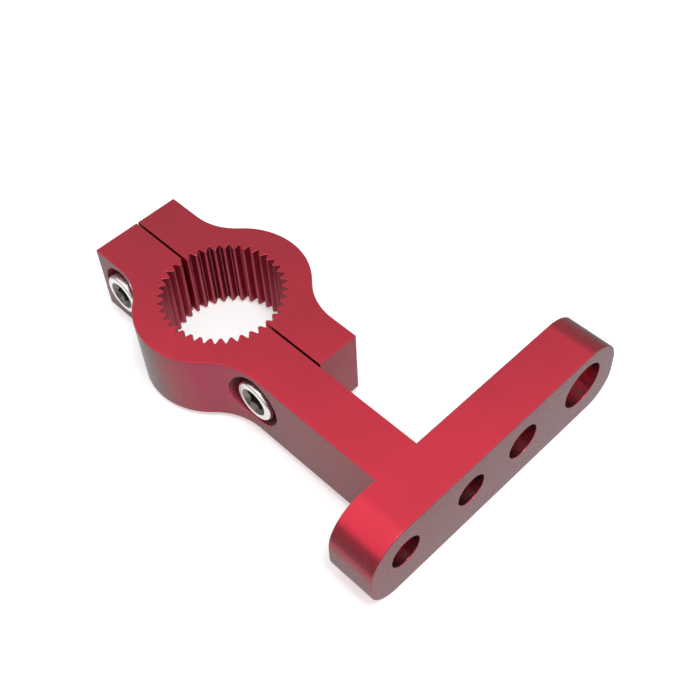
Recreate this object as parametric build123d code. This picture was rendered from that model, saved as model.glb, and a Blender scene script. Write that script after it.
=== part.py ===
from build123d import *
import math
import os

# Split clamp bracket for a 22 mm handlebar, with an arm that ends in a drilled crossbar.
# Millimetres, +Z up. The origin lies on the bore's axis, on the underside of the ring.
# +X runs from the bore along the arm to the crossbar, and +Y points from the body to the cap.

# Ring: both halves are cut from one plate, and the saw cut lies a little on the cap's side
plate_thickness = 15.0
half_width = 9.6
lug_past_outer_screw = 7.3
cap_past_inner_screw = 6.6
lobe_radius = 14.1
lobe_offset = 3.35
outer_lug_fillet = 11.4
arm_side_fillet = 12.7
split_offset = 0.2
saw_cut = 0.45

# Serrated bore: narrow lands lie on the tube, with a V-notch between each two
bore_radius = 11.0
notch_depth = 1.15
tooth_count = 38
land_share = 0.24
notch_floor_share = 0.1

# Crossbar: flush with the ring's top face and deeper than the plate
crossbar_back = 48.4
crossbar_depth = 9.8
crossbar_drop = 2.2
crossbar_near_reach = 20.7
crossbar_far_reach = 42.5
crossbar_top_radius = 8.0
crossbar_bottom_radius = 6.0

# Crossbar holes, from the near end to the far end, and their height above the ring's underside
hole_height = 7.6
hole_places = {"near": -12.6, "inner": 3.3, "middle": 16.7, "far": 33.2}
hole_diameters = {"near": 6.5, "inner": 6.5, "middle": 7.2, "far": 9.7}
drill_run_out = 0.9

# M5 socket-head cap screws: the outer one is not sunk as deep as the inner one
screw_spacing = 37.2
screw_height = 8.25
thread_diameter = 5.0
thread_length = 12.0
head_diameter = 8.5
head_height = 5.0
head_edge_radius = 0.45
head_stand_outs = {"outer": 1.0, "inner": 0.45}
socket_width = 4.0
socket_depth = 2.5
socket_mouth = 0.9
screw_tip_chamfer = 0.6

# Clearances round the screws
counterbore_play = 1.35
shank_play = 0.25
thread_play = 0.05

# Broken edges, and how near two places count as the same
edge_break = 0.15
same_place = 0.001

bore_notch_radius = bore_radius + notch_depth
cap_face = split_offset + saw_cut
crossbar_front = crossbar_back + crossbar_depth
screw_places = {"outer": -screw_spacing / 2, "inner": screw_spacing / 2}
outer_lug_reach = screw_spacing / 2 + lug_past_outer_screw
cap_reach = screw_spacing / 2 + cap_past_inner_screw


def box_sketch(low_x, high_x, low_y, high_y):
    """A flat rectangle between two corners."""
    middle = ((low_x + high_x) / 2, (low_y + high_y) / 2)
    return Pos(*middle) * Rectangle(high_x - low_x, high_y - low_y)


def half_ring_outline(side, split, reach_right):
    """Outline of one half: straight lugs with a round lobe over the bore, blended by hollow fillets."""
    flat = side * half_width
    lugs = box_sketch(-outer_lug_reach, reach_right, min(flat, split), max(flat, split))
    lobe = Pos(0, side * lobe_offset) * Circle(lobe_radius)
    beyond = lobe_radius + lobe_offset + half_width
    lobe &= box_sketch(-lobe_radius, lobe_radius, min(split, side * beyond), max(split, side * beyond))
    outline = lugs + lobe
    crossing = math.sqrt(lobe_radius**2 - (half_width - lobe_offset) ** 2)
    for corner_x, radius in ((-crossing, outer_lug_fillet), (crossing, arm_side_fillet)):
        corner = outline.vertices().sort_by_distance((corner_x, flat, 0))[0]
        outline = fillet(corner, radius)
    return outline


def polar_point(radius, degrees):
    """A point of the bore's section, from its radius and its angle."""
    angle = math.radians(degrees)
    return (radius * math.cos(angle), radius * math.sin(angle))


def serrated_section():
    """The bore's section: round lands on the tube, with notches between them."""
    pitch = 360 / tooth_count
    half_land = pitch * land_share / 2
    half_floor = pitch * notch_floor_share / 2
    edges = []
    for tooth in range(tooth_count):
        notch = tooth * pitch
        land = notch + pitch / 2
        floor_start = polar_point(bore_notch_radius, notch - half_floor)
        floor_end = polar_point(bore_notch_radius, notch + half_floor)
        land_start = polar_point(bore_radius, land - half_land)
        land_end = polar_point(bore_radius, land + half_land)
        next_floor = polar_point(bore_notch_radius, notch + pitch - half_floor)
        edges.append(ThreePointArc(floor_start, polar_point(bore_notch_radius, notch), floor_end))
        edges.append(Line(floor_end, land_start))
        edges.append(ThreePointArc(land_start, polar_point(bore_radius, land), land_end))
        edges.append(Line(land_end, next_floor))
    return make_face(edges)


def rod_along_y(x, radius, start_y, end_y):
    """A round rod across the ring, on a screw's axis."""
    plane = Plane((x, start_y, screw_height), x_dir=(1, 0, 0), z_dir=(0, 1, 0))
    return plane * extrude(Circle(radius), end_y - start_y)


def lies_at(low, high, level):
    """True where both ends of a span are at one level."""
    return abs(low - level) < same_place and abs(high - level) < same_place


def is_outer_corner(edge, split, reach_right):
    """True for a sharp outside edge: the flat rims, the crossbar's rims and the ends of the lugs."""
    box = edge.bounding_box()
    low, high, middle = box.min, box.max, box.center()
    on_back = lies_at(low.X, high.X, crossbar_back)
    beside_arm = -half_width - same_place < middle.Y < split + same_place
    under_top = middle.Z < plate_thickness - same_place
    on_split = lies_at(low.Y, high.Y, split)
    if on_split or (on_back and beside_arm and under_top):
        return False
    on_rim = lies_at(low.Z, high.Z, 0) or lies_at(low.Z, high.Z, plate_thickness)
    on_crossbar = on_back or lies_at(low.X, high.X, crossbar_front)
    on_lug_end = lies_at(low.X, high.X, -outer_lug_reach) or lies_at(low.X, high.X, reach_right)
    return on_rim or on_crossbar or on_lug_end


def break_edges(solid, split, reach_right):
    """Breaks the outside edges of a half with a small chamfer, and leaves the split face sharp."""
    corners = [edge for edge in solid.edges() if is_outer_corner(edge, split, reach_right)]
    return chamfer(corners, edge_break)


def crossbar_section():
    """The crossbar's outline seen along the arm, rounder at its top corners than underneath."""
    section = box_sketch(-crossbar_near_reach, crossbar_far_reach, -crossbar_drop, plate_thickness)
    section = fillet(section.vertices().group_by(Axis.Y)[0], crossbar_bottom_radius)
    return fillet(section.vertices().group_by(Axis.Y)[-1], crossbar_top_radius)


def head_seat(name):
    """Where the underside of a screw's head lies along Y."""
    return -half_width - head_stand_outs[name] + head_height


def clamp_body():
    """The near half of the ring with the arm and the crossbar, machined from one piece."""
    plate = extrude(half_ring_outline(-1, split_offset, crossbar_back), plate_thickness)
    crossbar_plane = Plane((crossbar_back, 0, 0), x_dir=(0, 1, 0), z_dir=(1, 0, 0))
    body = plate + crossbar_plane * extrude(crossbar_section(), crossbar_depth)
    body = break_edges(body, split_offset, crossbar_back)
    for name, place in hole_places.items():
        hole = Pos(place, hole_height, -drill_run_out) * Circle(hole_diameters[name] / 2)
        body -= crossbar_plane * extrude(hole, crossbar_depth + drill_run_out)
    body -= extrude(serrated_section(), plate_thickness)
    counterbore_radius = head_diameter / 2 + counterbore_play
    lobe_face = -lobe_radius - lobe_offset
    for name, x in screw_places.items():
        body -= rod_along_y(x, counterbore_radius, lobe_face, head_seat(name))
        body -= rod_along_y(x, thread_diameter / 2 + shank_play, head_seat(name), split_offset)
    return body


def clamp_cap():
    """The loose half of the ring, with a tapped hole right through for each screw."""
    cap = extrude(half_ring_outline(1, cap_face, cap_reach), plate_thickness)
    cap = break_edges(cap, cap_face, cap_reach)
    cap -= extrude(serrated_section(), plate_thickness)
    for x in screw_places.values():
        cap -= rod_along_y(x, thread_diameter / 2 + thread_play, cap_face, lobe_radius + lobe_offset)
    return cap


def cap_screw(name):
    """A cap screw: round head, hexagon socket with a conical mouth, and a shank up to the thread's crest."""
    head_top = head_seat(name) - head_height
    plane = Plane((screw_places[name], head_top, screw_height), x_dir=(1, 0, 0), z_dir=(0, 1, 0))
    head = extrude(Circle(head_diameter / 2), head_height)
    head = fillet(head.edges().group_by(Axis.Z)[0], head_edge_radius)
    shank = Pos(0, 0, head_height) * extrude(Circle(thread_diameter / 2), thread_length)
    shank = chamfer(shank.edges().group_by(Axis.Z)[-1], screw_tip_chamfer)
    socket = extrude(RegularPolygon(socket_width / 2, 6, major_radius=False), socket_depth)
    mouth = Cone(socket_width / 2 + socket_mouth, socket_width / 2, socket_mouth)
    mouth = Pos(0, 0, socket_mouth / 2) * mouth
    return plane * (head + shank - socket - mouth)


os.makedirs("parts", exist_ok=True)
export_step(clamp_body(), "parts/clamp_body.step")
export_step(clamp_cap(), "parts/clamp_cap.step")
for name in screw_places:
    export_step(cap_screw(name), f"parts/clamp_screw_{name}.step")
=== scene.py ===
import math
import bmesh
import bpy
from mathutils import Matrix, Vector


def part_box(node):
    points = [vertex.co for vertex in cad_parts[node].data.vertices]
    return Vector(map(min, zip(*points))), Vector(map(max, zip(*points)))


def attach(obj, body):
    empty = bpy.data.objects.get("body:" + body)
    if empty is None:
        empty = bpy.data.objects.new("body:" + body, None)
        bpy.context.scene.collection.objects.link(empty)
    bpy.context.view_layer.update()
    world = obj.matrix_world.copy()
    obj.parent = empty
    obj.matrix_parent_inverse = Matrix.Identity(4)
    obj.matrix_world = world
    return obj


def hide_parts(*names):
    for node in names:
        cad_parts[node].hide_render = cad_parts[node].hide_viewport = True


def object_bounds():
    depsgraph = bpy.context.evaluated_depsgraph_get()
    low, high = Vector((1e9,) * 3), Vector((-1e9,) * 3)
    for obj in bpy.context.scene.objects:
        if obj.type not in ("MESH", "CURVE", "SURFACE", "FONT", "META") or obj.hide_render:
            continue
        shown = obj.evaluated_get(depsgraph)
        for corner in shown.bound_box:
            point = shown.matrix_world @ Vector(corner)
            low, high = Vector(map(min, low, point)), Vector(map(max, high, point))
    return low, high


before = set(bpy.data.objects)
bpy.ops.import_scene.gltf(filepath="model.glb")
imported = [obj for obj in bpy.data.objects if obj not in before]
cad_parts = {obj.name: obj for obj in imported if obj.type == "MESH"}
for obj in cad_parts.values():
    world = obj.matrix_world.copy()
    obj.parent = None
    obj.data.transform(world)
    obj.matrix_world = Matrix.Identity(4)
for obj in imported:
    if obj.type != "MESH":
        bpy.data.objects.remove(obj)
cad_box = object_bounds()

# Camera
# It looks down on the bracket from the side of the crossbar, as the photograph does.
# The aim lies on the ring's middle plane, between the bore and the crossbar.
view_azimuth = math.radians(47.52)
view_elevation = math.radians(51.62)
view_roll = math.radians(-3.27)
view_distance = 0.20775
view_aim = Vector((0.0223, 0.01053, 0.0075))
lens_millimetres = 58.03
sensor_millimetres = 36.0
nearest_seen = 0.01

view_direction = Vector((-math.sin(view_azimuth) * math.cos(view_elevation),
                         math.cos(view_azimuth) * math.cos(view_elevation),
                         -math.sin(view_elevation)))
camera_data = bpy.data.cameras.new("camera")
camera_data.lens = lens_millimetres
camera_data.sensor_width = sensor_millimetres
camera_data.clip_start = nearest_seen
camera = bpy.data.objects.new("camera", camera_data)
camera.location = view_aim - view_direction * view_distance
level = view_direction.to_track_quat("-Z", "Y").to_matrix()
camera.rotation_euler = (level @ Matrix.Rotation(view_roll, 3, "Z")).to_euler()
bpy.context.collection.objects.link(camera)
bpy.context.scene.camera = camera

# Clamp body
# Half of the ring with the arm and the drilled crossbar, milled from one piece of aluminium plate.
# It is blasted to a satin and dyed red in the anodising bath, after its edges are broken.
# The walls of the saw cut are painted dark further in, a painted shade for the narrow cut, and the broken
# edges are rubbed a little brighter.
bore_outside = 0.01225
saw_cut_faces = (0.0002, 0.00065)
crossbar_back = 0.0484
crossbar_front = 0.0582
hole_height = 0.0076
crossbar_holes = ((-0.0126, 0.00325), (0.0033, 0.00325), (0.0167, 0.0036), (0.0332, 0.00485))
screw_height = 0.00825
screw_places = (-0.0186, 0.0186)
counterbore_radius = 0.0056
counterbore_floors = (-0.0056, -0.00505)
edge_break_slope = math.sqrt(0.5)
rim_rounding = 0.00012
bore_rim_rounding = 0.00005
tooth_rounding = 0.00004
rounding_steps = 2
sharp_angle = math.radians(50)
flat_angle = math.radians(0.6)
merge_distance = 2e-6
same_place = 2e-5
same_slope = 0.06
rim_reach = 10 * same_place
upright_below = 0.5
flat_above = 0.99
square_above = 0.999

satin, broken_edge, saw_cut, drilled, broached, counterbored = range(6)
finish_beside = -1
noise_low = 0.3
noise_high = 0.7
dye_cloud_waves = 95
speck_waves = 2600
blast_waves = 5200
blast_strength = 0.11
cutter_waves = (60, 3800, 500)
cutter_strength = 0.07
grain_depth = 0.00002
wall_from = 0.15
wall_to = 0.6
saw_waves = (300, 60, 6000)
saw_strength = 0.3
saw_depth = 0.00003
sawn_roughness = (0.5, 0.62)
satin_roughness = (0.24, 0.28)
rubbed_roughness = (0.22, 0.26)
drilled_roughness = (0.12, 0.20)
broached_roughness = (0.30, 0.38)
sunk_roughness = (0.40, 0.50)

dye_colour = (0.74, 0.012, 0.046)
deep_dye_colour = (0.66, 0.010, 0.040)
# Upright walls get a darker colour than the flat faces: painted shade for the dimmer light that falls on
# them.
wall_painted_shade_colour = (0.34, 0.008, 0.048)
rubbed_colour = (0.76, 0.03, 0.07)
rubbed_deep_colour = (0.68, 0.02, 0.06)
rubbed_wall_painted_shade_colour = (0.46, 0.04, 0.08)
# The drilled holes' walls are paler and pinker than the dye: a painted reflection of the light seen in the
# holes.
drilled_painted_reflection_colour = (0.66, 0.12, 0.21)
drilled_deep_painted_reflection_colour = (0.60, 0.10, 0.18)
# The serrations are darker than the dye: painted shade in the bore.
broached_painted_shade_colour = (0.42, 0.040, 0.075)
broached_deep_painted_shade_colour = (0.37, 0.034, 0.066)
# The counterbores are paler and pinker than the dye: painted light that lifts the shade in these recesses.
sunk_painted_light_colour = (0.60, 0.07, 0.13)
sunk_deep_painted_light_colour = (0.54, 0.06, 0.11)
sunk_veil = 0.3
# Away from the bore the saw cut's walls are painted near black: painted shade in the narrow cut.
slit_painted_shade_colour = (0.05, 0.002, 0.003)
slit_shade_full_from = 0.0128
slit_shade_start = 0.0121
oxide_index = 1.45
oxide_roughness = 0.45
grazing_tint = (0.12, 0.10, 0.11, 1)
dust_veil = 0.36
dust_veil_roughness = 0.42
dust_colour = (0.90, 0.95, 1.0, 1)


def link(tree, source, target):
    """Joins two sockets of a node tree."""
    tree.links.new(source, target)


def noise(tree, place, scale, detail=2.0, roughness=0.5):
    """A noise pattern, in waves for each metre of the piece."""
    texture = tree.nodes.new("ShaderNodeTexNoise")
    texture.inputs["Scale"].default_value = scale
    texture.inputs["Detail"].default_value = detail
    texture.inputs["Roughness"].default_value = roughness
    link(tree, place, texture.inputs["Vector"])
    return texture.outputs["Fac"]


def spread(tree, value, low, high, new_low, new_high):
    """Carries one range of a pattern onto another range."""
    ramp = tree.nodes.new("ShaderNodeMapRange")
    for name, number in (("From Min", low), ("From Max", high), ("To Min", new_low), ("To Max", new_high)):
        ramp.inputs[name].default_value = number
    link(tree, value, ramp.inputs["Value"])
    return ramp.outputs["Result"]


def mixed_colour(tree, factor, first, second):
    """A colour between two colours, each given as numbers or as a socket."""
    mix = tree.nodes.new("ShaderNodeMix")
    mix.data_type = "RGBA"
    sockets = [socket for socket in mix.inputs if socket.type == "RGBA"]
    for socket, colour in zip(sockets, (first, second)):
        if isinstance(colour, tuple):
            socket.default_value = (*colour, 1)
        else:
            link(tree, colour, socket)
    link(tree, factor, mix.inputs["Factor"])
    return [socket for socket in mix.outputs if socket.type == "RGBA"][0]


def stretched(tree, place, scale):
    """The piece's own coordinates, stretched to draw a grain along one axis."""
    mapping = tree.nodes.new("ShaderNodeMapping")
    mapping.inputs["Scale"].default_value = scale
    link(tree, place, mapping.inputs["Vector"])
    return mapping.outputs["Vector"]


def bumped(tree, height, strength, depth, below=None):
    """Raises a surface by a pattern, on top of another bump if there is one."""
    bump = tree.nodes.new("ShaderNodeBump")
    bump.inputs["Strength"].default_value = strength
    bump.inputs["Distance"].default_value = depth
    link(tree, height, bump.inputs["Height"])
    if below is not None:
        link(tree, below, bump.inputs["Normal"])
    return bump.outputs["Normal"]


def separated(tree, vector, axis):
    """One coordinate of a vector, without its sign."""
    parts = tree.nodes.new("ShaderNodeSeparateXYZ")
    link(tree, vector, parts.inputs["Vector"])
    size = tree.nodes.new("ShaderNodeMath")
    size.operation = "ABSOLUTE"
    link(tree, parts.outputs[axis], size.inputs[0])
    return size.outputs[0]


def anodised_finish(name, colour, deep_colour, painted_wall_shade_colour, roughness, veil):
    """Blasted and dyed aluminium: satin grain, faint cutter lines, uneven dye, and upright walls painted
    darker as painted shade.
    """
    material = bpy.data.materials.new(name)
    material.use_nodes = True
    tree = material.node_tree
    shader = tree.nodes["Principled BSDF"]
    own = tree.nodes.new("ShaderNodeTexCoord")
    place = own.outputs["Object"]
    upright = separated(tree, own.outputs["Normal"], "Z")
    clouds = noise(tree, place, dye_cloud_waves, detail=3.0)
    specks = noise(tree, place, speck_waves, detail=2.0, roughness=0.6)
    blast = noise(tree, place, blast_waves, detail=1.0)
    cutter_lines = noise(tree, stretched(tree, place, cutter_waves), 1.0, detail=1.0)
    cloudy = spread(tree, clouds, noise_low, noise_high, 0.0, 1.0)
    dye = mixed_colour(tree, cloudy, deep_colour, colour)
    lying = spread(tree, upright, wall_from, wall_to, 0.0, 1.0)
    # Upright faces take the darker wall colour, which paints shade onto the walls.
    link(tree, mixed_colour(tree, lying, painted_wall_shade_colour, dye), shader.inputs["Base Color"])
    satin_grain = spread(tree, specks, noise_low, noise_high, *roughness)
    link(tree, satin_grain, shader.inputs["Roughness"])
    grain = bumped(tree, blast, blast_strength, grain_depth)
    lines = bumped(tree, cutter_lines, cutter_strength, grain_depth, below=grain)
    link(tree, lines, shader.inputs["Normal"])
    shader.inputs["Metallic"].default_value = 1.0
    shader.inputs["Specular Tint"].default_value = grazing_tint
    shader.inputs["Coat Weight"].default_value = 1.0
    shader.inputs["Coat IOR"].default_value = oxide_index
    shader.inputs["Coat Roughness"].default_value = oxide_roughness
    shader.inputs["Sheen Weight"].default_value = veil
    shader.inputs["Sheen Roughness"].default_value = dust_veil_roughness
    shader.inputs["Sheen Tint"].default_value = dust_colour
    return material


def sawn_finish_with_painted_shade(name):
    """The saw cut's walls: rough, dyed beside the bore and painted dark further in, a painted shade for the
    narrow cut.
    """
    material = bpy.data.materials.new(name)
    material.use_nodes = True
    tree = material.node_tree
    shader = tree.nodes["Principled BSDF"]
    place = tree.nodes.new("ShaderNodeTexCoord").outputs["Object"]
    from_bore = spread(tree, separated(tree, place, "X"), slit_shade_start, slit_shade_full_from, 0.0, 1.0)
    saw_marks = noise(tree, stretched(tree, place, saw_waves), 1.0, detail=2.0)
    link(tree, mixed_colour(tree, from_bore, deep_dye_colour, slit_painted_shade_colour), shader.inputs["Base Color"])
    torn = spread(tree, saw_marks, noise_low, noise_high, *sawn_roughness)
    link(tree, torn, shader.inputs["Roughness"])
    link(tree, bumped(tree, saw_marks, saw_strength, saw_depth), shader.inputs["Normal"])
    shader.inputs["Metallic"].default_value = 1.0
    return material


def near(value, places, reach):
    """True where a value lies at one of some places."""
    return any(abs(value - place) < reach for place in places)


def in_crossbar_hole(middle, normal):
    """True on the wall of one of the crossbar's holes."""
    across = any(math.hypot(middle.y - place, middle.z - hole_height) < radius + same_place
                 for place, radius in crossbar_holes)
    return middle.x > crossbar_back and abs(normal.x) < upright_below and across


def in_screw_hole(middle, normal):
    """True on the wall or the floor of a counterbore, and in the hole behind it."""
    across = any(math.hypot(middle.x - place, middle.z - screw_height) < counterbore_radius + same_place
                 for place in screw_places)
    on_wall = abs(normal.y) < upright_below and abs(normal.z) < square_above
    on_floor = normal.y < -square_above and near(middle.y, counterbore_floors, same_place)
    return across and (on_wall or on_floor)


def surface_kind(face):
    """Which finish a face has, from where it lies and which way it looks."""
    middle, normal = face.calc_center_median(), face.normal
    if math.hypot(middle.x, middle.y) < bore_outside and abs(normal.z) < upright_below:
        return broached
    if in_crossbar_hole(middle, normal):
        return drilled
    if in_screw_hole(middle, normal):
        return counterbored
    if abs(normal.y) > flat_above and near(middle.y, saw_cut_faces, same_place):
        return saw_cut
    slopes_along = near(abs(normal.x), [edge_break_slope], same_slope)
    slopes_up = near(abs(normal.z), [edge_break_slope], same_slope)
    by_crossbar_rim = near(middle.x, (crossbar_back, crossbar_front), rim_reach)
    on_crossbar = crossbar_back + rim_reach < middle.x
    if (slopes_along and by_crossbar_rim) or (slopes_up and not on_crossbar):
        return broken_edge
    return satin


def round_edges(shape, wanted, width, finish):
    """Rounds the sharp edges that are wanted, in a finish or in that of the faces beside them."""
    edges = [edge for edge in shape.edges
             if len(edge.link_faces) == 2 and edge.calc_face_angle() > sharp_angle and wanted(edge)]
    bmesh.ops.bevel(shape, geom=edges, offset=width, offset_type="OFFSET", segments=rounding_steps,
                    profile=0.5, affect="EDGES", material=finish, loop_slide=False, clamp_overlap=False)


def in_bore(edge):
    """True for an edge of the serrations."""
    return all(math.hypot(vertex.co.x, vertex.co.y) < bore_outside for vertex in edge.verts)


def along_bore(edge):
    """True for an edge that runs along the bore, at a tooth's corner or at the saw cut."""
    return in_bore(edge) and edge.verts[0].co.z != edge.verts[1].co.z


def round_bore_rim(edge):
    """True for an edge where the serrations meet a flat face."""
    return in_bore(edge) and not along_bore(edge)


def outside_rim(edge):
    """True for an edge of a hole, a counterbore or an outside corner, but not of the saw cut."""
    on_cut = all(near(vertex.co.y, saw_cut_faces, same_place) for vertex in edge.verts)
    return not in_bore(edge) and not on_cut


def milled_piece(node, name, finishes):
    """A copy of a CAD solid with whole faces, rounded edges and its finishes."""
    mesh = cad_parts[node].data.copy()
    mesh.name = name
    mesh.materials.clear()
    for finish in finishes:
        mesh.materials.append(finish)
    shape = bmesh.new()
    shape.from_mesh(mesh)
    bmesh.ops.remove_doubles(shape, verts=shape.verts, dist=merge_distance)
    for face in shape.faces:
        face.material_index = surface_kind(face)
    bmesh.ops.dissolve_limit(shape, angle_limit=flat_angle, verts=shape.verts, edges=shape.edges,
                             delimit={"MATERIAL"})
    round_edges(shape, outside_rim, rim_rounding, broken_edge)
    round_edges(shape, along_bore, tooth_rounding, finish_beside)
    round_edges(shape, round_bore_rim, bore_rim_rounding, broken_edge)
    bmesh.ops.dissolve_degenerate(shape, dist=merge_distance, edges=shape.edges)
    for edge in shape.edges:
        edge.smooth = len(edge.link_faces) == 2 and edge.calc_face_angle() < sharp_angle
    for face in shape.faces:
        face.smooth = True
    shape.to_mesh(mesh)
    shape.free()
    piece = bpy.data.objects.new(name, mesh)
    bpy.context.collection.objects.link(piece)
    shading = piece.modifiers.new("even shading", "WEIGHTED_NORMAL")
    shading.keep_sharp = True
    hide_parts(node)
    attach(piece, "root")


red_satin = anodised_finish("red_satin", dye_colour, deep_dye_colour, wall_painted_shade_colour,
                            satin_roughness, dust_veil)
red_rubbed_edge = anodised_finish("red_rubbed_edge", rubbed_colour, rubbed_deep_colour, rubbed_wall_painted_shade_colour,
                                  rubbed_roughness, dust_veil)
# The saw cut's walls carry painted shade.
red_sawn_painted_shade = sawn_finish_with_painted_shade("red_sawn_painted_shade")
# The drilled holes and tapped threads carry the paler, painted-reflection colour.
red_drilled_painted_reflection = anodised_finish("red_drilled_painted_reflection", drilled_painted_reflection_colour, drilled_deep_painted_reflection_colour, drilled_painted_reflection_colour,
                              drilled_roughness, 0.0)
# The serrations carry the darker, painted-shade colour.
red_broached_painted_shade = anodised_finish("red_broached_painted_shade", broached_painted_shade_colour, broached_deep_painted_shade_colour, broached_painted_shade_colour,
                               broached_roughness, 0.0)
# The counterbores carry the paler, painted-light colour.
red_counterbored_painted_light = anodised_finish("red_counterbored_painted_light", sunk_painted_light_colour, sunk_deep_painted_light_colour, sunk_painted_light_colour,
                                   sunk_roughness, sunk_veil)
red_finishes = (red_satin, red_rubbed_edge, red_sawn_painted_shade, red_drilled_painted_reflection, red_broached_painted_shade, red_counterbored_painted_light)
milled_piece("clamp_body", "body", red_finishes)

# Clamp cap
# The loose half of the ring, cut from the same plate, dyed in the same bath and bolted on by the two screws.
# Its two holes are tapped right through.
milled_piece("clamp_cap", "cap", red_finishes)

# Tapped threads
# The M5 threads of the cap's two holes, cut by a tap in the dyed aluminium.
# They show behind the screws' tips, where the holes run out at the cap's back.
thread_pitch = 0.0008
thread_ridge = 0.00044
thread_steps = 32
thread_tail = 0.02
ridge_corners = 3
tapped_radius = 0.00255
tapped_from = 0.0068
tapped_to = 0.0092
tapped_turns = (tapped_to - tapped_from) / thread_pitch
into_cap = Matrix.Rotation(math.radians(-90), 4, "X")


def tree_with_inputs(name, inputs):
    """A geometry tree with named inputs. It returns the tree and its input and output nodes."""
    tree = bpy.data.node_groups.new(name, "GeometryNodeTree")
    tree.interface.new_socket("Geometry", in_out="INPUT", socket_type="NodeSocketGeometry")
    for title, kind, number in inputs:
        socket = tree.interface.new_socket(title, in_out="INPUT", socket_type=kind)
        if number is not None:
            socket.default_value = number
    tree.interface.new_socket("Geometry", in_out="OUTPUT", socket_type="NodeSocketGeometry")
    return tree, tree.nodes.new("NodeGroupInput"), tree.nodes.new("NodeGroupOutput")


def arithmetic(tree, operation, first, second):
    """A sum or product of two sockets or numbers."""
    node = tree.nodes.new("ShaderNodeMath")
    node.operation = operation
    for socket, value in zip(node.inputs, (first, second)):
        if isinstance(value, (int, float)):
            socket.default_value = value
        else:
            link(tree, value, socket)
    return node.outputs[0]


def add_thread(tree, given):
    """A screw thread: a three-cornered ridge swept along a helix, running out at both ends."""
    helix = tree.nodes.new("GeometryNodeCurveSpiral")
    helix.inputs["Resolution"].default_value = thread_steps
    link(tree, given.outputs["Thread Turns"], helix.inputs["Rotations"])
    link(tree, given.outputs["Thread Radius"], helix.inputs["Start Radius"])
    link(tree, given.outputs["Thread Radius"], helix.inputs["End Radius"])
    length = arithmetic(tree, "MULTIPLY", given.outputs["Thread Turns"], given.outputs["Thread Pitch"])
    link(tree, length, helix.inputs["Height"])
    upright = tree.nodes.new("GeometryNodeSetCurveNormal")
    set_choice(upright, "Z_UP")
    link(tree, helix.outputs["Curve"], upright.inputs["Curve"])
    along = tree.nodes.new("GeometryNodeSplineParameter").outputs["Factor"]
    from_end = arithmetic(tree, "SUBTRACT", 1.0, along)
    nearest_end = arithmetic(tree, "MINIMUM", along, from_end)
    turns_twice = arithmetic(tree, "MULTIPLY", given.outputs["Thread Turns"], 2.0)
    run_out = arithmetic(tree, "MULTIPLY", nearest_end, turns_twice)
    width = arithmetic(tree, "MAXIMUM", arithmetic(tree, "MINIMUM", run_out, 1.0), thread_tail)
    tapered = tree.nodes.new("GeometryNodeSetCurveRadius")
    link(tree, upright.outputs["Curve"], tapered.inputs["Curve"])
    link(tree, width, tapered.inputs["Radius"])
    ridge = tree.nodes.new("GeometryNodeCurvePrimitiveCircle")
    ridge.inputs["Resolution"].default_value = ridge_corners
    link(tree, given.outputs["Ridge Size"], ridge.inputs["Radius"])
    turned = tree.nodes.new("GeometryNodeTransform")
    link(tree, ridge.outputs["Curve"], turned.inputs["Geometry"])
    facing = tree.nodes.new("ShaderNodeCombineXYZ")
    link(tree, given.outputs["Ridge Turn"], facing.inputs["Z"])
    link(tree, facing.outputs["Vector"], turned.inputs["Rotation"])
    swept = tree.nodes.new("GeometryNodeCurveToMesh")
    swept.inputs["Fill Caps"].default_value = True
    link(tree, tapered.outputs["Curve"], swept.inputs["Curve"])
    link(tree, turned.outputs["Geometry"], swept.inputs["Profile Curve"])
    placed = tree.nodes.new("GeometryNodeTransform")
    start = tree.nodes.new("ShaderNodeCombineXYZ")
    link(tree, given.outputs["Thread Start"], start.inputs["Z"])
    link(tree, swept.outputs["Mesh"], placed.inputs["Geometry"])
    link(tree, start.outputs["Vector"], placed.inputs["Translation"])
    return placed.outputs["Geometry"]


def set_choice(node, value):
    """Sets a node's mode, whether Blender keeps it as a property or as a menu socket."""
    if hasattr(node, "mode"):
        node.mode = value
    else:
        node.inputs["Mode"].default_value = value


def finish_tree(tree, output, geometry, material_socket, keep_sockets):
    """Joins the parts, makes the instances real and gives them the finish."""
    joined = tree.nodes.new("GeometryNodeJoinGeometry")
    for part in geometry:
        link(tree, part, joined.inputs["Geometry"])
    real = tree.nodes.new("GeometryNodeRealizeInstances")
    link(tree, joined.outputs["Geometry"], real.inputs["Geometry"])
    painted = tree.nodes.new("GeometryNodeSetMaterial")
    link(tree, real.outputs["Geometry"], painted.inputs["Geometry"])
    link(tree, material_socket, painted.inputs["Material"])
    if keep_sockets:
        socket_faces = tree.nodes.new("GeometryNodeInputNamedAttribute")
        socket_faces.data_type = "BOOLEAN"
        socket_faces.inputs["Name"].default_value = "in_socket"
        others = tree.nodes.new("FunctionNodeBooleanMath")
        others.operation = "NOT"
        link(tree, socket_faces.outputs["Attribute"], others.inputs[0])
        link(tree, others.outputs[0], painted.inputs["Selection"])
    link(tree, painted.outputs["Geometry"], output.inputs["Geometry"])


def applied(carrier, tree, values, name):
    """Runs a geometry tree on an object with its values, and returns the result as a plain mesh."""
    modifier = carrier.modifiers.new("making", "NODES")
    modifier.node_group = tree
    for item in tree.interface.items_tree:
        if item.item_type == "SOCKET" and item.in_out == "INPUT" and item.name in values:
            modifier[item.identifier] = values[item.name]
    evaluated = carrier.evaluated_get(bpy.context.evaluated_depsgraph_get())
    mesh = bpy.data.meshes.new_from_object(evaluated)
    mesh.name = name
    carrier.modifiers.remove(modifier)
    bpy.data.objects.remove(carrier)
    return mesh


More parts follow.
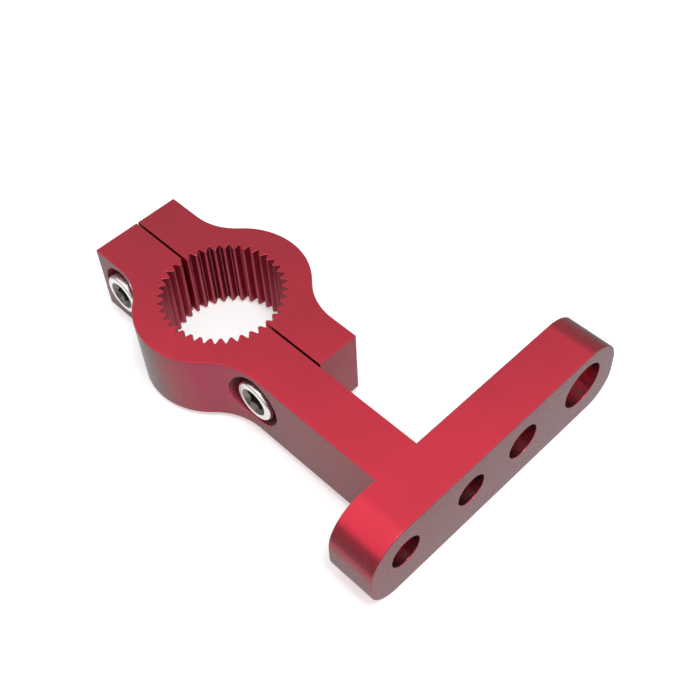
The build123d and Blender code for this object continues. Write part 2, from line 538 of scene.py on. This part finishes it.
thread_inputs = [("Thread Radius", "NodeSocketFloat", tapped_radius),
                 ("Thread Pitch", "NodeSocketFloat", thread_pitch),
                 ("Thread Turns", "NodeSocketFloat", tapped_turns),
                 ("Thread Start", "NodeSocketFloat", 0.0),
                 ("Ridge Size", "NodeSocketFloat", thread_ridge),
                 ("Ridge Turn", "NodeSocketFloat", 0.0),
                 ("Material", "NodeSocketMaterial", None)]

tapped_tree, given, made = tree_with_inputs("tapped_thread", thread_inputs)
finish_tree(tapped_tree, made, [add_thread(tapped_tree, given)], given.outputs["Material"], False)
tapped_values = {"Material": red_drilled_painted_reflection,
                 "Thread Radius": tapped_radius - thread_ridge / 2,
                 "Thread Pitch": thread_pitch,
                 "Thread Turns": tapped_turns,
                 "Thread Start": 0.0,
                 "Ridge Size": thread_ridge,
                 "Ridge Turn": math.pi}
for name, across in zip(("outer", "inner"), screw_places):
    carrier = bpy.data.objects.new(f"tap_{name}", bpy.data.meshes.new(f"tap_{name}"))
    bpy.context.collection.objects.link(carrier)
    mesh = applied(carrier, tapped_tree, tapped_values, f"tapped_{name}")
    mesh.transform(Matrix.Translation((across, tapped_from, screw_height)) @ into_cap)
    thread = bpy.data.objects.new(f"tapped_{name}", mesh)
    bpy.context.collection.objects.link(thread)
    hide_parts("clamp_cap")
    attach(thread, "root")

# Cap screws
# Two M5 socket-head cap screws of zinc-plated steel: cold-headed, with a knurled head and a rolled thread.
# They sit in the body's counterbores and pull the cap towards it, and the outer one stands out further.
# The hexagon socket's walls are painted dark, a painted shade for the deep socket.
screw_heads = {"outer": (screw_places[0], -0.0106, 12.0), "inner": (screw_places[1], -0.01005, 41.0)}
head_radius = 0.00425
head_height = 0.005
head_edge_radius = 0.00045
knurl_height = 0.00008
knurl_count = 44
knurl_margin = 0.0002
knurl_corners = 4
socket_apothem = 0.002
socket_depth = 0.0025
socket_mouth_radius = 0.0029
drill_point_depth = 0.0031
drill_point_radius = 0.00185
under_head_step = 0.0001
shank_radius = 0.00249
core_radius = 0.00206
plain_neck = 0.0008
neck_taper = 0.0004
screw_length = 0.012
tip_length = 0.0006
tip_radius = 0.0015
turned_steps = 96
smooth_limit = math.radians(32)
mottle_waves = 1400
crystal_waves = 6500
crystal_strength = 0.12
scratch_waves = (5200, 900, 900)
scratch_strength = 0.08
dull_from = 0.35
dull_to = 0.65
plated_roughness = (0.18, 0.30)
socket_roughness = (0.25, 0.45)

zinc_colour = (0.94, 0.93, 0.91)
zinc_dull_colour = (0.84, 0.83, 0.81)
# The socket's dark colour is painted shade for the deep hexagon socket.
socket_painted_shade_colour = (0.30, 0.27, 0.24)
socket_painted_shade_dull_colour = (0.16, 0.14, 0.12)


def plated_finish(name, colour, dull_colour, roughness):
    """Bright zinc on steel: faintly mottled, with fine crystals and handling scratches."""
    material = bpy.data.materials.new(name)
    material.use_nodes = True
    tree = material.node_tree
    shader = tree.nodes["Principled BSDF"]
    place = tree.nodes.new("ShaderNodeTexCoord").outputs["Object"]
    mottle = noise(tree, place, mottle_waves, detail=3.0, roughness=0.6)
    crystals = noise(tree, place, crystal_waves, detail=1.0)
    scratches = noise(tree, stretched(tree, place, scratch_waves), 1.0, detail=2.0)
    dullness = spread(tree, mottle, dull_from, dull_to, 0.0, 1.0)
    link(tree, mixed_colour(tree, dullness, colour, dull_colour), shader.inputs["Base Color"])
    patchy = spread(tree, mottle, noise_low, noise_high, *roughness)
    link(tree, patchy, shader.inputs["Roughness"])
    mottled = bumped(tree, crystals, crystal_strength, grain_depth)
    scratched = bumped(tree, scratches, scratch_strength, grain_depth, below=mottled)
    link(tree, scratched, shader.inputs["Normal"])
    shader.inputs["Metallic"].default_value = 1.0
    return material


def hexagon_radius(angle):
    """How far the hexagon socket's wall is from the axis, at an angle about it."""
    side = math.radians(60)
    return socket_apothem / math.cos((angle + side / 2) % side - side / 2)


def turned_blank(name, finishes):
    """The headed blank: rings of points about the local Z axis, from the socket's bottom round to the tip."""
    def round_ring(radius, depth):
        return lambda angle: (radius, depth)

    edge_rings = []
    edge_steps = 6
    blank_radius = head_radius - knurl_height
    for step in range(edge_steps + 1):
        turn = math.radians(90) * step / edge_steps
        radius = blank_radius - head_edge_radius * (1 - math.sin(turn))
        edge_rings.append(round_ring(radius, head_edge_radius * (1 - math.cos(turn))))
    head_bottom = head_height
    neck_end = head_bottom + plain_neck
    thread_end = head_bottom + screw_length - tip_length
    screw_end = head_bottom + screw_length
    rings = [
        lambda angle: (drill_point_radius, socket_depth),
        lambda angle: (hexagon_radius(angle), socket_depth),
        lambda angle: (hexagon_radius(angle), socket_mouth_radius - hexagon_radius(angle)),
        round_ring(socket_mouth_radius, 0.0),
        *edge_rings,
        round_ring(blank_radius, head_bottom - under_head_step),
        round_ring(blank_radius - under_head_step, head_bottom),
        round_ring(shank_radius, head_bottom),
        round_ring(shank_radius, neck_end),
        round_ring(core_radius, neck_end + neck_taper),
        round_ring(core_radius, thread_end),
        round_ring(tip_radius, screw_end),
    ]
    socket_rings = 3
    shape = bmesh.new()
    in_socket = shape.faces.layers.bool.new("in_socket")
    angles = [math.tau * step / turned_steps for step in range(turned_steps)]
    loops = []
    for ring in rings:
        loop = []
        for angle in angles:
            radius, depth = ring(angle)
            loop.append(shape.verts.new((radius * math.cos(angle), radius * math.sin(angle), depth)))
        loops.append(loop)
    for place in range(len(loops) - 1):
        for step in range(turned_steps):
            after = (step + 1) % turned_steps
            near_loop, far_loop = loops[place], loops[place + 1]
            face = shape.faces.new((near_loop[step], near_loop[after], far_loop[after], far_loop[step]))
            face[in_socket] = place < socket_rings
    for loop, depth in ((loops[0], drill_point_depth), (loops[-1], screw_end)):
        pole = shape.verts.new((0, 0, depth))
        for step in range(turned_steps):
            face = shape.faces.new((loop[step], loop[(step + 1) % turned_steps], pole))
            face[in_socket] = loop is loops[0]
    bmesh.ops.recalc_face_normals(shape, faces=shape.faces)
    for face in shape.faces:
        face.smooth = True
        face.material_index = 1 if face[in_socket] else 0
    for edge in shape.edges:
        edge.smooth = edge.calc_face_angle() < smooth_limit
    mesh = bpy.data.meshes.new(name)
    for finish in finishes:
        mesh.materials.append(finish)
    shape.to_mesh(mesh)
    shape.free()
    blank = bpy.data.objects.new(name, mesh)
    bpy.context.collection.objects.link(blank)
    return blank


def add_knurls(tree, given):
    """Straight knurls: square bars set corner outwards round the head."""
    ring = tree.nodes.new("GeometryNodeMeshCircle")
    link(tree, given.outputs["Knurl Count"], ring.inputs["Vertices"])
    link(tree, given.outputs["Knurl Circle"], ring.inputs["Radius"])
    bar = tree.nodes.new("GeometryNodeMeshCylinder")
    bar.inputs["Vertices"].default_value = knurl_corners
    link(tree, given.outputs["Knurl Size"], bar.inputs["Radius"])
    link(tree, given.outputs["Knurl Length"], bar.inputs["Depth"])
    bars = tree.nodes.new("GeometryNodeInstanceOnPoints")
    link(tree, ring.outputs["Mesh"], bars.inputs["Points"])
    link(tree, bar.outputs["Mesh"], bars.inputs["Instance"])
    number = tree.nodes.new("GeometryNodeInputIndex").outputs["Index"]
    share = arithmetic(tree, "DIVIDE", number, given.outputs["Knurl Count"])
    turn = tree.nodes.new("ShaderNodeCombineXYZ")
    link(tree, arithmetic(tree, "MULTIPLY", share, math.tau), turn.inputs["Z"])
    link(tree, turn.outputs["Vector"], bars.inputs["Rotation"])
    placed = tree.nodes.new("GeometryNodeTransform")
    middle = tree.nodes.new("ShaderNodeCombineXYZ")
    link(tree, given.outputs["Knurl Middle"], middle.inputs["Z"])
    link(tree, bars.outputs["Instances"], placed.inputs["Geometry"])
    link(tree, middle.outputs["Vector"], placed.inputs["Translation"])
    return placed.outputs["Geometry"]


knurl_inputs = [("Knurl Count", "NodeSocketInt", knurl_count),
                ("Knurl Circle", "NodeSocketFloat", head_radius),
                ("Knurl Size", "NodeSocketFloat", knurl_height),
                ("Knurl Length", "NodeSocketFloat", head_height),
                ("Knurl Middle", "NodeSocketFloat", 0.0)]

screw_tree, given, made = tree_with_inputs("cap_screw", thread_inputs + knurl_inputs)
screw_parts = [given.outputs["Geometry"], add_knurls(screw_tree, given), add_thread(screw_tree, given)]
finish_tree(screw_tree, made, screw_parts, given.outputs["Material"], True)

bright_zinc = plated_finish("bright_zinc", zinc_colour, zinc_dull_colour, plated_roughness)
# The socket walls get the dark, painted-shade finish.
socket_painted_shade = plated_finish("socket_painted_shade", socket_painted_shade_colour, socket_painted_shade_dull_colour, socket_roughness)
thread_length = screw_length - plain_neck - tip_length
knurl_length = head_height - head_edge_radius - 2 * knurl_margin
screw_values = {"Material": bright_zinc,
                "Thread Radius": core_radius,
                "Thread Pitch": thread_pitch,
                "Thread Turns": thread_length / thread_pitch,
                "Thread Start": head_height + plain_neck,
                "Ridge Size": thread_ridge,
                "Ridge Turn": 0.0,
                "Knurl Count": knurl_count,
                "Knurl Circle": head_radius - knurl_height,
                "Knurl Size": knurl_height,
                "Knurl Length": knurl_length,
                "Knurl Middle": head_edge_radius + knurl_margin + knurl_length / 2}
for name, (across, head_top, turned_by) in screw_heads.items():
    blank = turned_blank(f"blank_{name}", (bright_zinc, socket_painted_shade))
    mesh = applied(blank, screw_tree, screw_values, f"screw_{name}")
    lying = into_cap @ Matrix.Rotation(math.radians(turned_by), 4, "Z")
    mesh.transform(Matrix.Translation((across, head_top, screw_height)) @ lying)
    screw = bpy.data.objects.new(f"screw_{name}", mesh)
    bpy.context.collection.objects.link(screw)
    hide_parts(f"clamp_screw_{name}")
    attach(screw, "root")

# Floor
# A pale floor, which the bracket rests on by its crossbar and the ring's far end.
# It slopes, because the crossbar is deeper than the plate. Near the bracket it is painted light grey and
# glows faintly in reflections, a painted pool of light; further off it is painted dark grey, and the camera
# sees only plain white.
floor_reach = 3.0
ring_far_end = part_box("clamp_body")[0].x
floor_drop = -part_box("clamp_body")[0].z
floor_slope = math.atan2(floor_drop, crossbar_back - ring_far_end)
bpy.ops.mesh.primitive_plane_add(size=floor_reach, location=(ring_far_end, 0, 0))
floor = bpy.context.object
floor.name = "floor"
floor.rotation_euler = (0, floor_slope, 0)
pool_of_light_colour = (0.62, 0.62, 0.62)
beyond_pool_colour = (0.22, 0.22, 0.22)
floor_roughness = 0.9
white = (1, 1, 1, 1)
near_camera_glow = 0.46
far_camera_glow = 1.0
pool_reflection_glow = 0.24
pool_fade_from = 0.012
pool_fade_to = 0.020
floor_material = bpy.data.materials.new("floor_with_painted_pool")
floor_material.use_nodes = True
tree = floor_material.node_tree
floor_shader = tree.nodes["Principled BSDF"]
floor_shader.inputs["Roughness"].default_value = floor_roughness
floor_shader.inputs["Specular IOR Level"].default_value = 0.0
floor_shader.inputs["Emission Color"].default_value = white
place = tree.nodes.new("ShaderNodeNewGeometry").outputs["Position"]
outside = []
for axis, low, high in zip("XY", *cad_box):
    centred = tree.nodes.new("ShaderNodeVectorMath")
    centred.inputs[1].default_value = [-(low + high) / 2] * 3
    link(tree, place, centred.inputs[0])
    from_middle = separated(tree, centred.outputs["Vector"], axis)
    outside.append(arithmetic(tree, "SUBTRACT", from_middle, (high - low) / 2))
# The floor's colour and its glow in reflections fade with distance from the bracket: a painted pool of light.
beyond_pool = spread(tree, arithmetic(tree, "MAXIMUM", *outside), pool_fade_from, pool_fade_to, 0.0, 1.0)
link(tree, mixed_colour(tree, beyond_pool, pool_of_light_colour, beyond_pool_colour), floor_shader.inputs["Base Color"])
ray = tree.nodes.new("ShaderNodeLightPath")
glow = spread(tree, beyond_pool, 0.0, 1.0, near_camera_glow, far_camera_glow)
seen = arithmetic(tree, "MULTIPLY", glow, ray.outputs["Is Camera Ray"])
glossed = arithmetic(tree, "ADD", ray.outputs["Is Glossy Ray"], ray.outputs["Is Transmission Ray"])
painted_reflection_glow = spread(tree, beyond_pool, 0.0, 1.0, pool_reflection_glow, 0.0)
mirrored = arithmetic(tree, "MULTIPLY", painted_reflection_glow, glossed)
link(tree, arithmetic(tree, "ADD", seen, mirrored), floor_shader.inputs["Emission Strength"])
floor.data.materials.append(floor_material)

# Light
# A wide softbox hangs over a dim room, and fades out towards the walls and behind the bracket.
# A second soft lamp hangs nearly straight above, and gives the bracket its contact shadow.
softbox_side = Vector((0.68, -0.73, 0.0))
softbox_side_from = -0.74
softbox_side_to = -0.46
walls_below = 0.24
ceiling_above = 0.42
softbox_level = 1.06
room_level = 0.30
world = bpy.data.worlds.new("studio")
world.use_nodes = True
tree = world.node_tree
sky = tree.nodes["Background"]
direction = tree.nodes.new("ShaderNodeTexCoord").outputs["Generated"]
towards = tree.nodes.new("ShaderNodeVectorMath")
towards.operation = "DOT_PRODUCT"
towards.inputs[1].default_value = softbox_side
link(tree, direction, towards.inputs[0])
height = tree.nodes.new("ShaderNodeSeparateXYZ")
link(tree, direction, height.inputs["Vector"])
over_side = spread(tree, towards.outputs["Value"], softbox_side_from, softbox_side_to, 0.0, 1.0)
over_walls = spread(tree, height.outputs["Z"], walls_below, ceiling_above, 0.0, 1.0)
for soft_edge in (over_side, over_walls):
    soft_edge.node.interpolation_type = "SMOOTHSTEP"
in_softbox = arithmetic(tree, "MULTIPLY", over_side, over_walls)
light_level = spread(tree, in_softbox, 0.0, 1.0, room_level, softbox_level)
ray = tree.nodes.new("ShaderNodeLightPath")
shown = tree.nodes.new("ShaderNodeMix")
shown.data_type = "FLOAT"
link(tree, ray.outputs["Is Camera Ray"], shown.inputs["Factor"])
link(tree, light_level, shown.inputs["A"])
shown.inputs["B"].default_value = 1.0
link(tree, shown.outputs["Result"], sky.inputs["Strength"])
sky.inputs["Color"].default_value = white
bpy.context.scene.world = world

overhead_level = 1.4
overhead_softness = math.radians(16)
overhead_tilt = math.radians(16)
overhead_height = 0.5
overhead_light = bpy.data.lights.new("overhead", "SUN")
overhead_light.energy = overhead_level
overhead_light.angle = overhead_softness
overhead = bpy.data.objects.new("overhead", overhead_light)
overhead.location = (0, 0, overhead_height)
overhead.rotation_euler = (0, overhead_tilt, 0)
bpy.context.collection.objects.link(overhead)

bpy.context.scene.view_settings.view_transform = "Standard"
